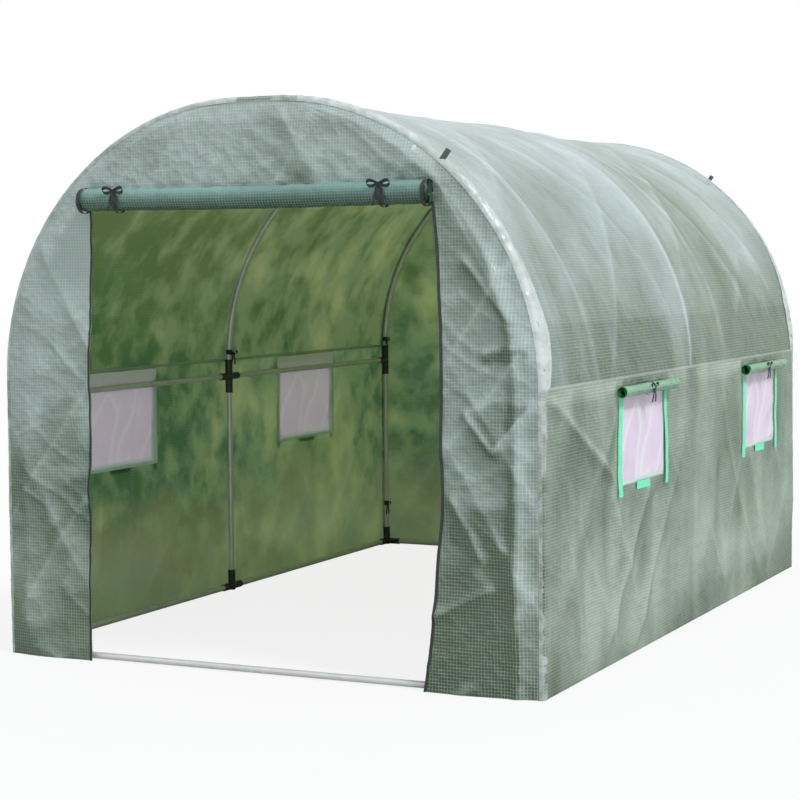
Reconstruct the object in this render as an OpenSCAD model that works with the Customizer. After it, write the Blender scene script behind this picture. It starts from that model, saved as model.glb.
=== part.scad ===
// Walk-in polytunnel: three bent tube hoops in moulded joints, under a green cover with a rolled door and windows.
// Units are millimetres. X is right, Y is to the rear, Z is up, and the doorway faces -Y.

/* [Tunnel] */
// Width over the side covers
tunnel_w = 2000; // [1700:10:2400]
// Length over the end panels
tunnel_l = 3000; // [2600:10:3600]
// Height of the eave rails at their centre line
eave_h = 890; // [800:5:1000]

/* [Tubes] */
// Outside diameter of every tube
tube_d = 22; // [19:0.5:25]
// Wall of every tube
tube_wall = 1; // [0.8:0.1:1.5]

/* [Joints] */
// Length of each joint arm from the joint centre
joint_arm = 68; // [55:1:80]
// Solid web between the joint centre and each socket floor
joint_web = 17; // [17:1:22]
// Clearance round a tube in its socket, and past its end
joint_fit = 0.3; // [0.2:0.05:0.5]
// Socket wall of the arms that carry a hoop
hoop_socket_wall = 3.7; // [3.4:0.1:4.5]
// Socket wall of the arms that carry a side rail or the ridge pole
rail_socket_wall = 3; // [2.7:0.1:3.2]
// Socket wall of the arms that carry an end rail
end_socket_wall = 2.4; // [2:0.1:2.6]

/* [Cover] */
// Thickness of the cover sheet
cover_t = 2; // [1.5:0.1:3]
// Gap between the sheet and the joints it is drawn over
seat = 0.3; // [0.2:0.05:0.5]
// Height of the cover hem above the ground
hem_lift = 1; // [0.5:0.1:2]

/* [Doorway] */
// Clear width of the doorway
door_w = 1270; // [1000:10:1300]
// Depth of the front panel over the doorway, below the crown
door_drop = 335; // [300:5:420]
// Outside diameter of the rolled door
door_roll_d = 84; // [75:1:95]
// Height of the door roll's axis above the doorway head
door_roll_lift = 10; // [5:1:20]
// Length of the door roll beyond the doorway at each end
door_roll_over = 5; // [2:1:10]
// Width of the zip strip on each doorway edge
zip_w = 13; // [10:1:20]
// Distance of each door tie from the middle
door_tie_x = 488; // [400:2:490]

/* [Windows] */
// Width of the window opening
window_w = 500; // [420:5:540]
// Height of the window sill
window_sill = 592; // [560:2:640]
// Depth of sheet left above the window opening
window_head = 16; // [12:1:24]
// Distance the left windows stand behind the middle of their bays
left_window_shift = -50; // [-80:5:0]
// Distance the right windows stand behind the middle of their bays
right_window_shift = 190; // [100:5:200]
// Width of the window mesh border sewn behind the sheet
mesh_border = 14; // [10:1:20]
// Thickness of the window mesh
mesh_t = 1.2; // [1:0.1:1.5]
// Outside diameter of a rolled window flap
window_roll_d = 46; // [40:1:52]
// Length of a rolled window flap beyond the opening at each end
window_roll_over = 38; // [36:1:50]
// Distance of the window roll axis below the side seam
window_roll_drop = 46; // [40:1:60]
// Width of the fastening strips at the window sides
strip_w = 35; // [30:1:40]
// Thickness of the fastening strips and the zip strips
strip_t = 1.2; // [1:0.1:1.3]
// Length of the fastening tab below each window
tab_l = 140; // [100:5:180]
// Height of the fastening tab below each window
tab_h = 28; // [20:1:34]

/* [Rolls and ties] */
// Thickness of the sheet in a roll
roll_sheet = 3; // [2.5:0.1:3.5]
// Distance from one turn of a roll to the next
roll_pitch = 7; // [6:0.5:8]
// Number of half turns in a roll
roll_halves = 5; // [3:1:5]
// Thickness of a tie band
tie_t = 1; // [0.8:0.1:1.2]
// Width of a tie band
tie_w = 22; // [15:1:30]
// Height of the ties on the rear legs
leg_tie_h = 200; // [150:10:300]

/* [Hidden] */
$fn = 64;
bend_fn = 256;
hoop_sleeve_r = tube_d / 2 + joint_fit + hoop_socket_wall;
rail_sleeve_r = tube_d / 2 + joint_fit + rail_socket_wall;
end_sleeve_r = tube_d / 2 + joint_fit + end_socket_wall;
tube_start = joint_web + joint_fit;
base_z = hoop_sleeve_r;
spring_z = eave_h + joint_arm;
hoop_x = tunnel_w / 2 - cover_t - seat - hoop_sleeve_r;
bend_r = hoop_x - joint_arm;
ridge_z = spring_z + bend_r;
roof_r = bend_r + hoop_sleeve_r + seat;
door_h = spring_z + roof_r + cover_t - door_drop;
tie_grow = seat + tie_t;
door_band_r = door_roll_d / 2 + tie_grow;
mid_y = door_band_r + seat / 2;
front_y = mid_y - tunnel_l / 2;
rear_y = mid_y + tunnel_l / 2;
cover_l = tunnel_l - 2 * cover_t;
hoop_step = tunnel_l / 2 - cover_t - seat - hoop_sleeve_r;
hoop_y = [mid_y - hoop_step, mid_y, mid_y + hoop_step];
door_roll_y = front_y - seat - door_band_r;
door_roll_z = door_h + door_roll_lift;
door_roll_l = door_w + 2 * door_roll_over;
window_h = spring_z - window_head - window_sill;
window_roll_r = window_roll_d / 2;
window_roll_x = tunnel_w / 2 + strip_t + seat + window_roll_r;
window_roll_z = spring_z - window_roll_drop;
window_roll_l = window_w + 2 * window_roll_over;
bay_y = [mid_y - tunnel_l / 4, mid_y + tunnel_l / 4];
left_window_y = [bay_y[0] + left_window_shift, bay_y[1] + left_window_shift];
right_window_y = [bay_y[0] + right_window_shift, bay_y[1] + right_window_shift];

// Each direction turns an upright piece to point that way.
function turn(way) =
    way == "down" ? [180, 0, 0] :
    way == "right" ? [0, 90, 0] :
    way == "left" ? [0, -90, 0] :
    way == "rear" ? [-90, 0, 0] :
    way == "front" ? [90, 0, 0] : [0, 0, 0];

module both_sides() {
    children();
    mirror([1, 0, 0]) children();
}

module tube(length) {
    difference() {
        cylinder(d = tube_d, h = length);
        translate([0, 0, -1]) cylinder(d = tube_d - 2 * tube_wall, h = length + 2);
    }
}

module ring(inner_r, width) {
    translate([0, 0, -width / 2]) difference() {
        cylinder(r = inner_r + tie_t, h = width);
        translate([0, 0, -1]) cylinder(r = inner_r, h = width + 2);
    }
}

// A moulded joint: sleeves meet at the centre, each with a blind socket.
module joint(hoop_ways, rail_ways, end_ways) {
    difference() {
        union() {
            for (way = hoop_ways) rotate(turn(way)) cylinder(r = hoop_sleeve_r, h = joint_arm);
            for (way = rail_ways) rotate(turn(way)) cylinder(r = rail_sleeve_r, h = joint_arm);
            for (way = end_ways) rotate(turn(way)) cylinder(r = end_sleeve_r, h = joint_arm);
        }
        for (way = concat(hoop_ways, rail_ways, end_ways)) {
            rotate(turn(way)) translate([0, 0, joint_web]) cylinder(r = tube_d / 2 + joint_fit, h = joint_arm);
        }
    }
}

// A base joint stands on a flat foot below its upright sleeve.
module base_joint(rail_ways, end_ways) {
    joint(["up"], rail_ways, end_ways);
    translate([0, 0, -base_z]) cylinder(r = hoop_sleeve_r, h = base_z);
}

module legs(y) {
    both_sides() translate([hoop_x, y, base_z + tube_start]) tube(eave_h - base_z - 2 * tube_start);
}

// Half a hoop: an upright tail in the eave joint, a quarter bend, and a level tail in the ridge joint.
module half_arch() {
    translate([hoop_x, 0, eave_h + tube_start]) tube(joint_arm - tube_start);
    translate([joint_arm, 0, spring_z]) rotate([90, 0, 0]) rotate_extrude(angle = 90, $fn = bend_fn) {
        translate([bend_r, 0]) difference() {
            circle(d = tube_d, $fn = 64);
            circle(d = tube_d - 2 * tube_wall, $fn = 64);
        }
    }
    translate([tube_start, 0, ridge_z]) rotate([0, 90, 0]) tube(joint_arm - tube_start);
}

module arches(y) {
    translate([0, y, 0]) both_sides() half_arch();
}

// Two rails in line, one in each bay.
module rail_pair(x, z) {
    for (start = [hoop_y[0], hoop_y[1]]) {
        translate([x, start + tube_start, z]) rotate([-90, 0, 0]) tube(hoop_step - 2 * tube_start);
    }
}

module end_rail(y) {
    translate([-hoop_x + tube_start, y, base_z]) rotate([0, 90, 0]) tube(2 * hoop_x - 2 * tube_start);
}

// A sheet rolled up in half turns that step in by half the pitch, its axis upright.
module roll(radius, length) {
    for (i = [0 : roll_halves - 1]) {
        outer = radius - i * roll_pitch / 2;
        translate([i % 2 == 0 ? 0 : -roll_pitch / 2, 0, -length / 2]) rotate([0, 0, 180 * (i % 2)]) {
            rotate_extrude(angle = 180) translate([outer - roll_sheet, 0]) square([roll_sheet, length]);
        }
    }
}

// A side wall of the cover, from hem to side seam, with its windows cut through.
module wall_cover(side, window_y) {
    inner_x = tunnel_w / 2 - cover_t;
    x = side > 0 ? inner_x : -tunnel_w / 2;
    difference() {
        translate([x, mid_y - cover_l / 2, hem_lift]) cube([cover_t, cover_l, spring_z - hem_lift]);
        for (y = window_y) {
            translate([x - 1, y - window_w / 2, window_sill]) cube([cover_t + 2, window_w, window_h]);
        }
    }
}

// A third of one side of the roof, between two angles above the side seam.
module roof_third(from) {
    translate([joint_arm, mid_y + cover_l / 2, spring_z]) rotate([90, -from, 0]) {
        rotate_extrude(angle = 30, $fn = bend_fn) translate([roof_r, 0]) square([cover_t, cover_l]);
    }
}

// Half an end panel: a straight part up to the side seam, a quarter round, and the level part by the ridge.
module half_end_panel(y) {
    translate([0, y, hem_lift]) cube([tunnel_w / 2, cover_t, spring_z - hem_lift]);
    translate([0, y, spring_z]) cube([joint_arm, cover_t, roof_r + cover_t]);
    translate([joint_arm, y + cover_t, spring_z]) rotate([90, 0, 0]) {
        rotate_extrude(angle = 90, $fn = bend_fn) square([roof_r + cover_t, cover_t]);
    }
}

module front_side_panel() {
    difference() {
        half_end_panel(front_y);
        translate([-1, front_y - 1, 0]) cube([door_w / 2 + 1, cover_t + 2, ridge_z + tunnel_w]);
    }
}

module window_mesh(side, window_y) {
    outer_x = tunnel_w / 2 - cover_t;
    x = side > 0 ? outer_x - mesh_t : -outer_x;
    for (y = window_y) {
        translate([x, y - window_w / 2 - mesh_border, window_sill - mesh_border])
            cube([mesh_t, window_w + 2 * mesh_border, window_h + 1.5 * mesh_border]);
    }
}

module window_rolls_at(side, window_y) {
    for (y = window_y) {
        translate([side * window_roll_x, y, window_roll_z]) rotate([-90, 0, 0])
            rotate([0, 0, side > 0 ? 90 : 0]) roll(window_roll_r, window_roll_l);
    }
}

// Two side strips and the sill tab, lying on the outside of the wall.
module strip_set(side, y) {
    x = side > 0 ? tunnel_w / 2 : -tunnel_w / 2 - strip_t;
    strip_bottom = window_sill - strip_w;
    for (edge = [-1, 1]) {
        translate([x, y + edge * window_w / 2 - strip_w / 2, strip_bottom])
            cube([strip_t, strip_w, spring_z - window_head - strip_bottom]);
    }
    translate([x, y - tab_l / 2, window_sill - tab_h]) cube([strip_t, tab_l, tab_h]);
}

module front_legs() color("silver") legs(hoop_y[0]);
module middle_legs() color("silver") legs(hoop_y[1]);
module rear_legs() color("silver") legs(hoop_y[2]);

module front_arches() color("silver") arches(hoop_y[0]);
module middle_arches() color("silver") arches(hoop_y[1]);
module rear_arches() color("silver") arches(hoop_y[2]);

module left_base_rails() color("silver") rail_pair(-hoop_x, base_z);
module right_base_rails() color("silver") rail_pair(hoop_x, base_z);
module front_base_rail() color("silver") end_rail(hoop_y[0]);
module rear_base_rail() color("silver") end_rail(hoop_y[2]);
module left_eave_rails() color("silver") rail_pair(-hoop_x, eave_h);
module right_eave_rails() color("silver") rail_pair(hoop_x, eave_h);
module ridge_poles() color("silver") rail_pair(0, ridge_z);

module base_corner_joints() color("dimgray") {
    translate([-hoop_x, hoop_y[0], base_z]) base_joint(["rear"], ["right"]);
    translate([hoop_x, hoop_y[0], base_z]) base_joint(["rear"], ["left"]);
    translate([-hoop_x, hoop_y[2], base_z]) base_joint(["front"], ["right"]);
    translate([hoop_x, hoop_y[2], base_z]) base_joint(["front"], ["left"]);
}

module base_middle_joints() color("dimgray") both_sides() {
    translate([hoop_x, hoop_y[1], base_z]) base_joint(["front", "rear"], []);
}

module eave_end_joints() color("dimgray") both_sides() {
    translate([hoop_x, hoop_y[0], eave_h]) joint(["up", "down"], ["rear"], []);
    translate([hoop_x, hoop_y[2], eave_h]) joint(["up", "down"], ["front"], []);
}

module eave_middle_joints() color("dimgray") both_sides() {
    translate([hoop_x, hoop_y[1], eave_h]) joint(["up", "down"], ["front", "rear"], []);
}

module ridge_joints() color("dimgray") {
    translate([0, hoop_y[0], ridge_z]) joint(["left", "right"], ["rear"], []);
    translate([0, hoop_y[1], ridge_z]) joint(["left", "right"], ["front", "rear"], []);
    translate([0, hoop_y[2], ridge_z]) joint(["left", "right"], ["front"], []);
}

module left_wall_cover() color("darkseagreen") wall_cover(-1, left_window_y);
module right_wall_cover() color("darkseagreen") wall_cover(1, right_window_y);

module right_roof_haunch() color("darkseagreen") roof_third(0);
module right_roof_shoulder() color("darkseagreen") roof_third(30);
module right_roof_crown() color("darkseagreen") roof_third(60);
module left_roof_haunch() color("darkseagreen") mirror([1, 0, 0]) roof_third(0);
module left_roof_shoulder() color("darkseagreen") mirror([1, 0, 0]) roof_third(30);
module left_roof_crown() color("darkseagreen") mirror([1, 0, 0]) roof_third(60);

module roof_ridge_strip() color("darkseagreen") {
    translate([-joint_arm, mid_y - cover_l / 2, spring_z + roof_r]) cube([2 * joint_arm, cover_l, cover_t]);
}

module front_left_panel() color("darkseagreen") mirror([1, 0, 0]) front_side_panel();
module front_right_panel() color("darkseagreen") front_side_panel();

module front_top_panel() color("darkseagreen") intersection() {
    both_sides() half_end_panel(front_y);
    translate([-door_w / 2, front_y - 1, door_h]) cube([door_w, cover_t + 2, tunnel_w]);
}

module rear_panel() color("darkseagreen") both_sides() half_end_panel(rear_y - cover_t);

module door_roll() color("seagreen") {
    translate([0, door_roll_y, door_roll_z]) rotate([0, 90, 0]) roll(door_roll_d / 2, door_roll_l);
}

// Two ties hold the door roll up, and the zip tape shows as a band at each end of it.
module door_roll_bands() color("black") {
    for (x = [-door_roll_l / 2 + tie_w / 2, -door_tie_x, door_tie_x, door_roll_l / 2 - tie_w / 2]) {
        translate([x, door_roll_y, door_roll_z]) rotate([0, 90, 0]) ring(door_roll_d / 2 + seat, tie_w);
    }
}

module door_edge_zips() color("black") both_sides() {
    translate([door_w / 2, front_y - strip_t, hem_lift])
        cube([zip_w, strip_t, door_roll_z - door_band_r - seat - hem_lift]);
}

module left_window_meshes() color("lavender") window_mesh(-1, left_window_y);
module right_window_meshes() color("lavender") window_mesh(1, right_window_y);

module left_window_rolls() color("seagreen") window_rolls_at(-1, left_window_y);
module right_window_rolls() color("seagreen") window_rolls_at(1, right_window_y);

module window_strips() color("mediumaquamarine") {
    for (y = left_window_y) strip_set(-1, y);
    for (y = right_window_y) strip_set(1, y);
}

module window_roll_ties() color("black") {
    for (y = left_window_y) {
        translate([-window_roll_x, y, window_roll_z]) rotate([90, 0, 0]) ring(window_roll_r + seat, tie_w);
    }
    for (y = right_window_y) {
        translate([window_roll_x, y, window_roll_z]) rotate([90, 0, 0]) ring(window_roll_r + seat, tie_w);
    }
}

// Ribbon ties round each hoop just above its eave joints, and round the rear legs.
module frame_ties() color("black") both_sides() {
    for (y = hoop_y) {
        translate([joint_arm, y, spring_z]) rotate([0, -2, 0]) translate([bend_r, 0, 0])
            ring(tube_d / 2 + seat, tie_w);
    }
    translate([hoop_x, hoop_y[2], leg_tie_h]) ring(tube_d / 2 + seat, tie_w);
}

front_legs();
middle_legs();
rear_legs();
front_arches();
middle_arches();
rear_arches();
left_base_rails();
right_base_rails();
front_base_rail();
rear_base_rail();
left_eave_rails();
right_eave_rails();
ridge_poles();
base_corner_joints();
base_middle_joints();
eave_end_joints();
eave_middle_joints();
ridge_joints();
left_wall_cover();
right_wall_cover();
left_roof_haunch();
left_roof_shoulder();
left_roof_crown();
roof_ridge_strip();
right_roof_crown();
right_roof_shoulder();
right_roof_haunch();
front_left_panel();
front_right_panel();
front_top_panel();
rear_panel();
door_roll();
door_roll_bands();
door_edge_zips();
left_window_meshes();
right_window_meshes();
left_window_rolls();
right_window_rolls();
window_strips();
window_roll_ties();
frame_ties();
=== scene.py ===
"""Looks of the walk-in polytunnel: creased cover, rolled door and flaps, netting, ties and tape."""

import math

import bpy
import numpy as np
from mathutils import Matrix, Vector


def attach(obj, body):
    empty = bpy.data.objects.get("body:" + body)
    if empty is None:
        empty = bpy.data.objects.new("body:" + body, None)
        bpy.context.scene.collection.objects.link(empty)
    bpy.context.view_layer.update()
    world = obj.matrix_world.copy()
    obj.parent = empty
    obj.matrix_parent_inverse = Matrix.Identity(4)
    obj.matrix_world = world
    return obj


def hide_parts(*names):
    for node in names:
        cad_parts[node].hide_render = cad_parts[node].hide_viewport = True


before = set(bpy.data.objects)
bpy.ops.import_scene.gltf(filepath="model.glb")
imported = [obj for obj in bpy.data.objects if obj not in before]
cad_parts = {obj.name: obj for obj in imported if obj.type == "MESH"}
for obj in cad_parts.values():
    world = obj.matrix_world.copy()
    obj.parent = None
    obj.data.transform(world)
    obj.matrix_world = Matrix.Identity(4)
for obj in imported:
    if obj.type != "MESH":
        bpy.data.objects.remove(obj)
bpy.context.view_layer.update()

# Sizes of the frame in metres, from the part's source, with the cover at the middle of its thickness.
MID_Y = 0.04345
HALF_L = 1.5
FRONT_Y = MID_Y - HALF_L
HOOP_X = 0.9827
HOOP_STEP = 1.4827
HOOPS_Y = (MID_Y - HOOP_STEP, MID_Y, MID_Y + HOOP_STEP)
EAVE_Z = 0.89
ARM = 0.068
SPRING_Z = EAVE_Z + ARM
BEND_R = HOOP_X - ARM
SHEET_OFF = 0.0163
WALL_X = HOOP_X + SHEET_OFF
ROOF_R = BEND_R + SHEET_OFF
HEM_Z = 0.001

# Sizes of the door and the windows, from the same source.
DOOR_X = 0.635
DOOR_Z = 1.555
ROLL_Z = 1.565
ROLL_R = 0.042
ROLL_Y = FRONT_Y - 0.0436
WINDOW_W = 0.5
SILL_Z = 0.592
HEAD_Z = SPRING_Z - 0.016
LEFT_WINDOWS = (MID_Y - 0.75 - 0.05, MID_Y + 0.75 - 0.05)
RIGHT_WINDOWS = (MID_Y - 0.75 + 0.19, MID_Y + 0.75 + 0.19)
FLAP_R = 0.023
FLAP_X = 1.0 + 0.0015 + FLAP_R
FLAP_Z = SPRING_Z - 0.046

# Sizes of the sheets and tapes that only this script makes.
ROOF_RUN = ROOF_R * math.pi + 2 * ARM
TURN = SHEET_OFF * math.pi / 2
SHEET_GAP = 0.0012
FRONT_SHEET_Y = FRONT_Y + 0.001
REAR_SHEET_Y = MID_Y + HALF_L - 0.001
CUT_Z = FLAP_Z + 0.012
SEAM_W = 0.012
EDGE_TAB_W = 0.024
DOOR_ROLL_L = 1.27
FLAP_L = 0.576
NET_X = 0.9962
NET_W = 0.528
HEAD_STRIP_H = 0.045
WELT_W = 0.012
TAPE_X = 1.0050
TAPE_W = 0.026
TAPE_TAB_X = 1.003
TAPE_TAB_W = 0.028
TIE_W = 0.010
BOW_W = 0.009
THREAD_PITCH = 0.0105
THREAD_W = 0.0030
INNER_THREAD_W = 0.0026

# The seed of the folds at the front.
FRONT_SEED = 11


# Noise and mesh helpers

def value_noise(x, y, seed):
    """Smooth noise from 0 to 1 over a seeded lattice of cells of size 1."""
    table = np.random.default_rng(seed).random((64, 64))
    xi, yi = np.floor(x).astype(int), np.floor(y).astype(int)
    fx, fy = x - xi, y - yi
    fx, fy = fx * fx * (3 - 2 * fx), fy * fy * (3 - 2 * fy)
    a, b = table[xi % 64, yi % 64], table[(xi + 1) % 64, yi % 64]
    c, d = table[xi % 64, (yi + 1) % 64], table[(xi + 1) % 64, (yi + 1) % 64]
    return (a * (1 - fx) + b * fx) * (1 - fy) + (c * (1 - fx) + d * fx) * fy


def creases(u, v, degrees, length, pitch, seed):
    """Sharp fold lines from 0 to 1 that run at an angle to u."""
    c, s = math.cos(math.radians(degrees)), math.sin(math.radians(degrees))
    along, across = u * c + v * s, v * c - u * s
    bend = value_noise(along / length, across / length, seed + 50) * 0.9
    n = value_noise(along / length, across / pitch + bend, seed)
    return (1 - np.abs(2 * n - 1)) ** 2


def stops(step, *marks):
    """Grid positions from the first mark to the last, with a line on every mark."""
    parts = [np.linspace(a, b, max(2, round((b - a) / step) + 1))[:-1] for a, b in zip(marks, marks[1:])]
    return np.concatenate(parts + [np.array([marks[-1]])])


def grid_object(name, points, uv, keep=None, flip=False, shade=None):
    """A smooth mesh over a grid of points, with its flat size in metres as its UV map.

    keep says which quads stay, flip turns its face round, and shade is how much paler or darker its material
    is at each point, mostly painted light and shade of its folds.
    """
    rows, cols = points.shape[:2]
    index = np.arange(rows * cols).reshape(rows, cols)
    corners = [index[:-1, :-1], index[1:, :-1], index[1:, 1:], index[:-1, 1:]]
    quads = np.stack(corners, axis=-1).reshape(-1, 4)
    if keep is not None:
        quads = quads[keep.reshape(-1)]
    if flip:
        quads = quads[:, [0, 3, 2, 1]]
    mesh = bpy.data.meshes.new(name)
    mesh.from_pydata(points.reshape(-1, 3).tolist(), [], quads.tolist())
    layer = mesh.uv_layers.new(name="flat")
    layer.data.foreach_set("uv", uv.reshape(-1, 2)[quads.reshape(-1)].astype(np.float32).reshape(-1))
    mesh.polygons.foreach_set("use_smooth", np.ones(len(mesh.polygons), dtype=bool))
    if shade is not None:
        tones = mesh.attributes.new("shade", "FLOAT", "POINT")
        tones.data.foreach_set("value", shade.reshape(-1).astype(np.float32))
    mesh.update()
    obj = bpy.data.objects.new(name, mesh)
    bpy.context.scene.collection.objects.link(obj)
    return obj


def finish_piece(obj, material, slot, *nodes):
    """Give a piece its material, and hide the CAD nodes that it stands in for."""
    obj.data.materials.clear()
    obj.data.materials.append(material)
    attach(obj, "root")
    if nodes:
        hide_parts(*nodes)
    return obj


def sheet_pair(name, points, uv, shade, material, nodes, keep=None, flip=False):
    """A sheet of the cover and, just inside it, its inner face, both stretched on the frame."""
    out = np.cross(np.gradient(points, axis=0), np.gradient(points, axis=1))
    out /= np.maximum(np.linalg.norm(out, axis=-1, keepdims=True), 1e-9) * (-1 if flip else 1)
    face = grid_object(name, points, uv, keep, flip, shade)
    finish_piece(face, material, "cover_sheet", *nodes)
    inside = grid_object(name + "_inside", points - SHEET_GAP * out, uv, keep, not flip, shade)
    finish_piece(inside, LINING, "cover_sheet")


def ribbon(name, path, side, width):
    """A flat tape along a path, its width along side."""
    path, side = np.asarray(path, float), np.asarray(side, float)
    side = np.broadcast_to(side, path.shape)
    across = np.linspace(-0.5, 0.5, 3) * width
    points = path[:, None, :] + side[:, None, :] * across[None, :, None]
    run = np.concatenate([[0], np.cumsum(np.linalg.norm(np.diff(path, axis=0), axis=1))])
    uv = np.stack(np.broadcast_arrays(run[:, None], across[None, :]), axis=-1)
    return grid_object(name, points, uv)


def joined(name, objects):
    """Several meshes as one object."""
    bpy.ops.object.select_all(action="DESELECT")
    for o in objects:
        o.select_set(True)
    bpy.context.view_layer.objects.active = objects[0]
    bpy.ops.object.join()
    objects[0].name = name
    return objects[0]


# Materials

THREAD = (0.80, 0.86, 0.82)
DAYLIGHT = (0.80, 0.84, 0.80)
GREEN_LIGHT = (0.72, 0.84, 0.73)


class Nodes:
    """A material's node tree with short calls for adding and linking nodes."""

    def __init__(self, name):
        self.material = bpy.data.materials.new(name)
        self.material.use_nodes = True
        self.tree = self.material.node_tree
        self.tree.nodes.clear()
        self.out = self.tree.nodes.new("ShaderNodeOutputMaterial")

    def add(self, kind, **inputs):
        """A node of a kind, with its inputs by name: an underscore stands for a space."""
        node = self.tree.nodes.new("ShaderNode" + kind)
        for key, value in inputs.items():
            self.set(node, key.replace("_", " "), value)
        return node

    def set(self, node, key, value):
        """Link or set one input, by its name or number."""
        socket = node.inputs[int(key) if key.strip().isdigit() else key]
        if isinstance(value, bpy.types.NodeSocket):
            self.tree.links.new(value, socket)
        else:
            socket.default_value = value

    def math(self, operation, a, b=0.0, c=0.0):
        node = self.tree.nodes.new("ShaderNodeMath")
        node.operation = operation
        for i, value in enumerate((a, b, c)):
            self.set(node, str(i), value)
        return node.outputs[0]

    def mix(self, factor, a, b):
        node = self.tree.nodes.new("ShaderNodeMix")
        node.data_type = "RGBA"
        self.set(node, "0", factor)
        self.set(node, "6", a)
        self.set(node, "7", b)
        return node.outputs[2]

    def noise(self, vector, scale, detail=3.0):
        return self.add("TexNoise", Vector=vector, Scale=scale, Detail=detail).outputs["Fac"]

    def stretched(self, vector, x, y, z):
        """A place whose three coordinates are multiplied by x, y and z."""
        return self.add("Mapping", Vector=vector, Scale=(x, y, z)).outputs[0]

    def ramp(self, factor, first, *middle, last):
        """A colour that changes along a factor, from marks of place and colour between two end colours."""
        node = self.add("ValToRGB", Fac=factor)
        node.color_ramp.elements[0].color = rgb(*first)
        node.color_ramp.elements[1].color = rgb(*last)
        for place, colour in middle:
            node.color_ramp.elements.new(place).color = rgb(*colour)
        return node.outputs["Color"]

    def blend(self, factor, a, b):
        node = self.tree.nodes.new("ShaderNodeMixShader")
        self.set(node, "0", factor)
        self.set(node, "1", a.outputs[0])
        self.set(node, "2", b.outputs[0])
        return node

    def done(self, shader):
        self.tree.links.new(shader.outputs[0], self.out.inputs["Surface"])
        return self.material


def rgb(r, g, b):
    return (r, g, b, 1.0)


def grid_mask(n, uv, pitch, width):
    """1 on the woven threads, which cross at a set pitch, and 0 between them."""
    split = n.add("SeparateXYZ", Vector=uv)
    lines = []
    for axis in (0, 1):
        part = n.math("FRACT", n.math("DIVIDE", split.outputs[axis], pitch))
        lines.append(n.math("LESS_THAN", part, width / pitch))
    return n.math("MAXIMUM", lines[0], lines[1])


def crumple(n, uv, strength):
    """Bump of small creases, as in a sheet that was folded in a packet."""
    big = n.add("TexVoronoi", Vector=n.stretched(uv, 1.0, 0.6, 1.0), Scale=11.0)
    fine = n.add("TexVoronoi", Vector=uv, Scale=37.0)
    small = n.noise(uv, 34.0, 4.0)
    cells = n.math("MULTIPLY", fine.outputs["Distance"], 0.25)
    detail = n.math("ADD", cells, n.math("MULTIPLY", small, 0.3))
    height = n.math("ADD", n.math("MULTIPLY", big.outputs["Distance"], 0.9), detail)
    return n.add("Bump", Strength=strength, Distance=0.013, Height=height).outputs[0]


def fold_lines(n, where, scale, sharp):
    """Thin painted highlights along the creases of a net."""
    wave = n.noise(where, scale, 1.0)
    top = n.math("SUBTRACT", 1.0, n.math("ABSOLUTE", n.math("MULTIPLY_ADD", wave, 2.0, -1.0)))
    return n.math("POWER", top, sharp)


def shade_at(n):
    """The shade that the mesh holds at each point."""
    node = n.tree.nodes.new("ShaderNodeAttribute")
    node.attribute_name = "shade"
    return node.outputs["Fac"]


def film_material(name, dark, pale, lift, thread=THREAD, glow=DAYLIGHT, clouds=0.30, rough=0.26,
                  crumpled=0.6, through=0.4, tips=None):
    """Reinforced sheet: pale threads round darker squares, clouded, with pale painted highlights along its
    folds, and painted shade from its folds.

    lift is painted light that pales it with height, as under a bright sky: its gain for each metre, and its
    start. glow is the colour of the light that comes through, and through is its share. tips is the colour
    of a roll's ends.
    """
    n = Nodes(name)
    uv = n.add("UVMap").outputs[0]
    where = n.add("TexCoord").outputs["Object"]
    height = n.add("SeparateXYZ", Vector=where).outputs[2]
    mask = grid_mask(n, uv, THREAD_PITCH, THREAD_W)
    # Random clouds of dark and pale, which also stand in for a painted reflection of the darker and paler
    # surroundings.
    cloud = n.math("MULTIPLY_ADD", n.noise(where, 2.4, 5.0), 4.2, -1.9)
    # Painted highlights: long pale bands along the arches, as where folds catch the light.
    fold_sheen = n.math("MULTIPLY_ADD", n.noise(n.stretched(where, 0.7, 5.5, 0.7), 1.3, 4.0), 2.4, -1.05)
    # Painted light: the tone pales with height, and takes the painted light and shade that the mesh holds.
    tone = n.math("ADD", n.math("MULTIPLY_ADD", height, lift[0], lift[1]), shade_at(n))
    for part in (cloud, fold_sheen):
        tone = n.math("MULTIPLY_ADD", part, clouds, tone)
    tone.node.use_clamp = True
    woven = n.mix(tone, rgb(*(0.6 * c for c in thread)), rgb(*thread))
    colour = n.mix(n.math("MULTIPLY", mask, 0.58), n.mix(tone, rgb(*dark), rgb(*pale)), woven)
    if tips:
        along = n.math("ABSOLUTE", n.add("SeparateXYZ", Vector=uv).outputs[0])
        colour = n.mix(n.math("GREATER_THAN", along, FLAP_L / 2 - 0.022), colour, rgb(*tips))
    normal = crumple(n, uv, crumpled)
    front = n.add("BsdfPrincipled", Base_Color=colour, Roughness=rough, Normal=normal)
    back = n.add("BsdfTranslucent", Color=rgb(*glow), Normal=normal)
    return n.done(n.blend(through, front, back))


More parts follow.
